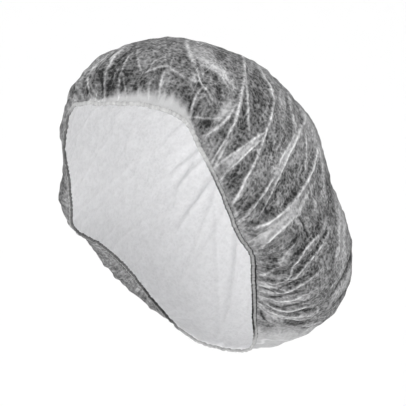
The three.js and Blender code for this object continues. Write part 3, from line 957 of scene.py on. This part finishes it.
class Recipe:
    def __init__(self, name):
        self.material = bpy.data.materials.new(name)
        self.material.use_nodes = True
        self.tree = self.material.node_tree
        self.shader = self.tree.nodes["Principled BSDF"]

    def put(self, socket, value):
        if isinstance(value, bpy.types.NodeSocket):
            self.tree.links.new(value, socket)
        else:
            socket.default_value = value

    def add(self, kind, settings=None, **inputs):
        node = self.tree.nodes.new(kind)
        for key, value in (settings or {}).items():
            setattr(node, key, value)
        for key, value in inputs.items():
            self.put(node.inputs[key.replace("_", " ")], value)
        return node

    def math(self, operation, *values, clamp=False):
        node = self.tree.nodes.new("ShaderNodeMath")
        node.operation = operation
        node.use_clamp = clamp
        for socket, value in zip(node.inputs, values):
            self.put(socket, value)
        return node.outputs[0]

    def ramp(self, value, low, high, to_low=0.0, to_high=1.0):
        settings = {"interpolation_type": "SMOOTHSTEP"}
        limits = dict(From_Min=low, From_Max=high, To_Min=to_low, To_Max=to_high)
        return self.add("ShaderNodeMapRange", settings, Value=value, **limits).outputs["Result"]

    def attribute(self, name):
        return self.add("ShaderNodeAttribute", {"attribute_name": name})

    def stretched(self, vector, scale):
        return self.add("ShaderNodeMapping", Vector=vector, Scale=scale).outputs["Vector"]

    def noise(self, vector, scale, detail=2.0, roughness=0.5):
        sizes = dict(Scale=scale, Detail=detail, Roughness=roughness)
        return self.add("ShaderNodeTexNoise", Vector=vector, **sizes).outputs["Fac"]

    def mottle(self, vector, scale, detail=2.0, roughness=0.6, spread=0.2):
        spots = self.noise(vector, scale, detail, roughness)
        return self.ramp(spots, 0.5 - spread, 0.5 + spread, -1.0, 1.0)

    def bell(self, away, fall):
        square = self.math("MULTIPLY", away, away)
        return self.math("EXPONENT", self.math("MULTIPLY", square, -fall))

    def add_layers(self, total, layers):
        for layer, share in layers:
            total = self.math("MULTIPLY_ADD", layer, share, total)
        return total

    def dress(self, eye, tint, roughness, gloss, relief, depth):
        grey = self.math("POWER", eye, EYE_POWER)
        blue = self.math("MULTIPLY", grey, tint)
        colour = self.add("ShaderNodeCombineColor", Red=grey, Green=grey, Blue=blue)
        bump = self.add("ShaderNodeBump", Strength=BUMP_STRENGTH, Distance=depth, Height=relief)
        self.put(self.shader.inputs["Base Color"], colour.outputs[0])
        self.put(self.shader.inputs["Normal"], bump.outputs["Normal"])
        self.put(self.shader.inputs["Roughness"], roughness)
        self.put(self.shader.inputs["Specular IOR Level"], gloss)


print("node helpers ready")

# %% [markdown]
# ## The cloth's finish
# Spunbond cloth is a web of random fibres with small thin places between them. Filled with
# something dark, the thin places read dark and the web pale. The recipe works in greys as
# the eye sees them. Its layers are the tone, the web, blotches, streaks along the cloth,
# the charted creases with a painted shadow beside one side, and faint creases between them.
# The inner face shows the cloth's own pale colour.

# %% Cloth material
CELL = 0.0027
WEB_SHAKE, WEB_SHAKE_SCALE = CELL * 1.6, 0.5 / CELL
WEB_FROM, WEB_TO = 0.1, 0.8
LINE_FALL = 1.3
SHADOW_FLANK_AWAY, SHADOW_FLANK_FALL, SHADOW_FLANK_SHARE = 1.9, 0.9, 0.3
FAINT_SHAKE, FAINT_SHAKE_SCALE = 0.010, 34.0
FAINT_SCALE, FAINT_HALF = (150.0, 150.0, 16.0), 0.03
PATCH_SCALE, PATCH_FROM, PATCH_TO = 38.0, 0.44, 0.6


def shaken(recipe, where, scale, reach):
    drift = recipe.add("ShaderNodeTexNoise", Vector=where, Scale=scale, Detail=1.0)
    moved = recipe.add("ShaderNodeVectorMath", {"operation": "MULTIPLY_ADD"})
    recipe.put(moved.inputs[0], drift.outputs["Color"])
    moved.inputs[1].default_value = (reach,) * 3
    recipe.put(moved.inputs[2], where)
    return moved.outputs[0]


def web_of_fibres(recipe, where):
    moved = shaken(recipe, where, WEB_SHAKE_SCALE, WEB_SHAKE)
    cells = recipe.add("ShaderNodeTexVoronoi", {"feature": "F1"}, Vector=moved, Scale=1 / CELL)
    return recipe.ramp(cells.outputs["Distance"], WEB_FROM, WEB_TO, -1.0, 1.0)


def charted_lines(recipe, broken):
    palest, darkest = 0.0, 0.0
    for channel in range(CHANNELS):
        crease = recipe.attribute(f"crease_{channel}").outputs["Vector"]
        split = recipe.add("ShaderNodeSeparateXYZ", Vector=crease)
        away, strength = split.outputs["X"], split.outputs["Y"]
        # A painted shadow runs beside one side of each crease.
        flank_shadow = recipe.bell(recipe.math("SUBTRACT", away, SHADOW_FLANK_AWAY), SHADOW_FLANK_FALL)
        shade = recipe.math("MULTIPLY", flank_shadow, SHADOW_FLANK_SHARE)
        shape = recipe.math("SUBTRACT", recipe.bell(away, LINE_FALL), shade)
        light = recipe.math("MULTIPLY", shape, strength)
        palest = recipe.math("MAXIMUM", light, palest)
        darkest = recipe.math("MINIMUM", light, darkest)
    return recipe.math("MULTIPLY", recipe.math("ADD", palest, darkest), broken)


def faint_creases(recipe, along, where):
    bent = shaken(recipe, along, FAINT_SHAKE_SCALE, FAINT_SHAKE)
    waves = recipe.noise(recipe.stretched(bent, FAINT_SCALE), 1.0, 1.0, 0.4)
    away = recipe.math("ABSOLUTE", recipe.math("SUBTRACT", waves, 0.5))
    thin = recipe.ramp(away, 0.0, FAINT_HALF, 1.0, 0.0)
    patchy = recipe.ramp(recipe.noise(where, PATCH_SCALE), PATCH_FROM, PATCH_TO)
    return recipe.math("MULTIPLY", thin, patchy)


cloth = Recipe("nonwoven_cloth")
here = cloth.add("ShaderNodeTexCoord").outputs["Object"]
way = cloth.attribute("cloth_way").outputs["Vector"]
names = ("tone", "pale", "gathered", "inside")
tone_in, pale_in, gathered_in, inside_in = [cloth.attribute(name).outputs["Fac"] for name in names]

GRAIN, BLOTCH, CLOUD, BREAK = 620.0, 230.0, 62.0, 110.0
STREAK_SCALE, STREAK_SHARE, STREAK_GATHERED = (330.0, 330.0, 26.0), 0.35, 0.8
BREAK_FROM, BREAK_TO, BREAK_LEAST = 0.25, 0.6, 0.6
web = web_of_fibres(cloth, here)
grain = cloth.mottle(here, GRAIN)
blotches = cloth.mottle(here, BLOTCH, spread=0.18)
clouds = cloth.mottle(here, CLOUD, roughness=0.5)
streaks = cloth.mottle(cloth.stretched(way, STREAK_SCALE), 1.0, roughness=0.55)
streak_share = cloth.add_layers(STREAK_SHARE, [(gathered_in, STREAK_GATHERED)])
streak_light = cloth.math("MULTIPLY", streaks, streak_share)
breaks = cloth.noise(here, BREAK, 2.0, 0.6)
broken = cloth.ramp(breaks, BREAK_FROM, BREAK_TO, BREAK_LEAST)
lines = charted_lines(cloth, broken)
faint = faint_creases(cloth, way, here)

BASE_EYE, DARKEST_EYE, PALEST_EYE, INNER_EYE = 0.39, 0.17, 0.86, 0.95
tight = cloth.add_layers(1.0, [(tone_in, -0.3)])
drawn = cloth.add_layers(1.0, [(gathered_in, -0.25), (pale_in, -0.7)])
firm = cloth.math("MULTIPLY", drawn, tight)
TEXTURES = ((web, 0.095), (blotches, 0.06), (grain, 0.045), (clouds, 0.035), (streak_light, 0.08))
firm_textures = [(cloth.math("MULTIPLY", layer, firm), share) for layer, share in TEXTURES]
eye = cloth.add_layers(BASE_EYE, [(tone_in, 0.15), (pale_in, 0.27)])
eye = cloth.add_layers(eye, firm_textures)
eye = cloth.add_layers(eye, [(faint, 0.12), (lines, 0.34)])
eye = cloth.math("MINIMUM", cloth.math("MAXIMUM", eye, DARKEST_EYE), PALEST_EYE)
inner_eye = cloth.add_layers(INNER_EYE, [(lines, 0.03), (blotches, 0.012), (web, 0.012)])
outer_share = cloth.math("SUBTRACT", 1.0, inside_in)
eye = cloth.add_layers(cloth.math("MULTIPLY", eye, outer_share), [(inner_eye, inside_in)])
raised_in = cloth.add_layers(0.0, [(web, 0.16), (lines, 0.5), (streak_light, 0.35), (faint, 0.3)])
cloth.dress(eye, tint=1.01, roughness=0.82, gloss=0.1, relief=raised_in, depth=0.0007)
crown.data.materials.append(cloth.material)
print("cloth nodes:", len(cloth.tree.nodes))

# %% [markdown]
# ## The hem's finish
# The hem is the same cloth in several layers, so at the front it is pale. Where the
# elastic draws it in it is a little darker, and its lower edge has a painted shadow line. Its
# small gathers are streaks across it, close together.

# %% Hem material
PLEAT_SCALE = (480.0, 480.0, 90.0)
FIBRE_SCALE = 520.0
HEM_EYE = 0.66

rolled = Recipe("hem_cloth")
hem_here = rolled.add("ShaderNodeTexCoord").outputs["Object"]
hem_way = rolled.attribute("cloth_way").outputs["Vector"]
names = ("drawn_in", "lower_edge", "shaded")
drawn_share, edge_share, shade_share = [rolled.attribute(name).outputs["Fac"] for name in names]
pleats = rolled.mottle(rolled.stretched(hem_way, PLEAT_SCALE), 1.0, 3.0)
fibres = rolled.mottle(hem_here, FIBRE_SCALE, 3.0)
# Painted shadow along the lower edge where the elastic draws the hem in, deepest a little before
# the back.
shadow_line = rolled.math("MULTIPLY", drawn_share, edge_share)
deep_shade = rolled.math("MULTIPLY", shade_share, shadow_line)
hem_eye = rolled.add_layers(HEM_EYE, [(drawn_share, -0.1), (shadow_line, -0.3)])
hem_eye = rolled.add_layers(hem_eye, [(deep_shade, -0.2), (pleats, 0.05), (fibres, 0.03)])
rolled.dress(hem_eye, tint=1.0, roughness=0.8, gloss=0.22, relief=pleats, depth=0.0005)
hem.data.materials.append(rolled.material)
print("hem nodes:", len(rolled.tree.nodes))

# %% [markdown]
# ## Floor and backdrop
# The cap is held up in the air, so the floor lies well below it. Far out the floor curves
# up all round like a shallow dish, which leaves no horizon in any view.

# %% Stage
FLOOR_DROP = 0.62
FLOOR_SIDE = 12.0
FLOOR_FLAT = 2.0
FLOOR_LIFT = 0.17

bpy.ops.mesh.primitive_grid_add(x_subdivisions=60, y_subdivisions=60, size=FLOOR_SIDE)
floor = bpy.context.object
floor.name = "pale_floor"
for vertex in floor.data.vertices:
    beyond = max(0.0, math.hypot(vertex.co.x, vertex.co.y) - FLOOR_FLAT)
    vertex.co.z = FLOOR_LIFT * beyond**2 - FLOOR_DROP
floor.data.shade_smooth()
paper = Recipe("pale_paper")
paper.shader.inputs["Base Color"].default_value = (0.93, 0.93, 0.93, 1.0)
paper.shader.inputs["Roughness"].default_value = 0.9
floor.data.materials.append(paper.material)

world = bpy.data.worlds.new("studio_white")
bpy.context.scene.world = world
world.use_nodes = True
background = world.node_tree.nodes["Background"]
background.inputs["Color"].default_value = (1.0, 1.0, 1.0, 1.0)
background.inputs["Strength"].default_value = 1.05
bpy.context.scene.view_settings.view_transform = "Standard"
print("stage set")

# %% [markdown]
# ## Lights
# The reference light is flat and soft, a little stronger from above. Large area lights do
# it: one high in front, one at the side, and one low in front that reaches the hollow.

# %% Lights
AIM = np.array([0.0, 0.04, -0.12])


def soft_light(name, place, side, power):
    data = bpy.data.lights.new(name, "AREA")
    data.shape = "DISK"
    data.size = side
    data.energy = power
    back_way = np.array(place) - AIM
    back_way /= np.linalg.norm(back_way)
    right_way = np.cross([0.0, 0.0, 1.0], back_way)
    right_way /= np.linalg.norm(right_way)
    up_way = np.cross(back_way, right_way)
    new_object(name, data).matrix_world = facing(right_way, up_way, back_way, place)


soft_light("key_light", (-0.6, -1.4, 1.5), 1.2, 8.0)
soft_light("low_light", (0.4, -1.9, -0.35), 1.2, 14.0)
soft_light("side_light", (1.8, -0.4, 0.4), 1.0, 8.0)
print("lights set")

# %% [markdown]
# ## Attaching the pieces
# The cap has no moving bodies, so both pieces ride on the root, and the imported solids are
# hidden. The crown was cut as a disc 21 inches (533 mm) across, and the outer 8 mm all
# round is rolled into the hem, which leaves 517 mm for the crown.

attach(crown, "root")
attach(hem, "root")
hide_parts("crown")
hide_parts("elastic_hem")
